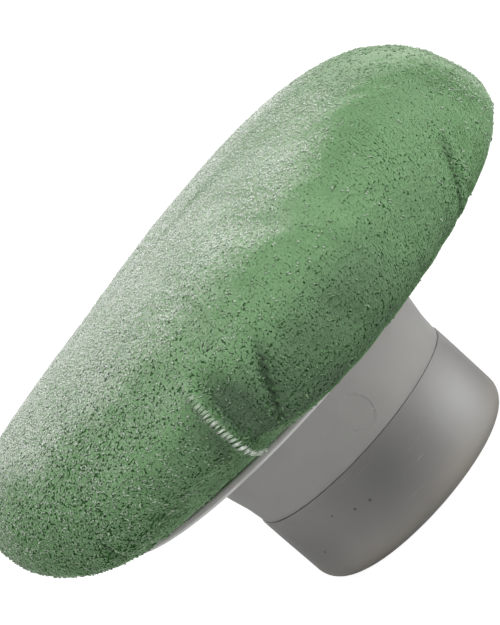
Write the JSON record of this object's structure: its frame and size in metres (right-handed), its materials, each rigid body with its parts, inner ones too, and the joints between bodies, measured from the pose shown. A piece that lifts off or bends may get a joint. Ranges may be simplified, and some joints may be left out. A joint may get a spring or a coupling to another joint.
{
  "type": "powder puff",
  "caption": "Round plush powder puff on a short plastic handle that is a powder chamber with a screw cap and a sifter disc.",
  "frame": {"origin": "centre of the cap's closed end, on which the puff stands", "axes": "+Z along the handle's axis, from the cap to the face of the pad; X and Y are alike on this round object, and the screw thread starts on +X"},
  "size_m": [0.0908, 0.0896, 0.0506],
  "materials": {
    "plush": "short dense pile cloth with a pale sheen",
    "foam": "soft open-cell foam",
    "hem_cord": "twisted cord",
    "inner_plastic": "moulded, satin",
    "handle_plastic": "moulded, matt, slightly milky",
    "liner_foam": "soft sealing foam"
  },
  "bodies": {
    "cap": {"handle_cap": "handle_plastic"},
    "liner": {"cap_liner": "liner_foam"},
    "puff": {"plush_cover": "plush", "foam_pad": "foam", "gather_cord": "hem_cord", "clamp_disc": "inner_plastic", "sifter_disc": "inner_plastic", "back_plate": "handle_plastic"}
  },
  "joints": [
    {"name": "puff_turn", "type": "hinge", "parent": "cap", "child": "liner", "pos_m": [0, 0, 0.0133], "axis": [0, 0, 1], "range_deg": [0, 1260]},
    {"name": "puff_lift", "type": "slide", "parent": "liner", "child": "puff", "axis": [0, 0, 1], "range_m": [0, 0.0105]}
  ],
  "couplings": [
    {"joint": "puff_lift", "follows": "puff_turn", "m_per_rad": 0.00047746}
  ]
}
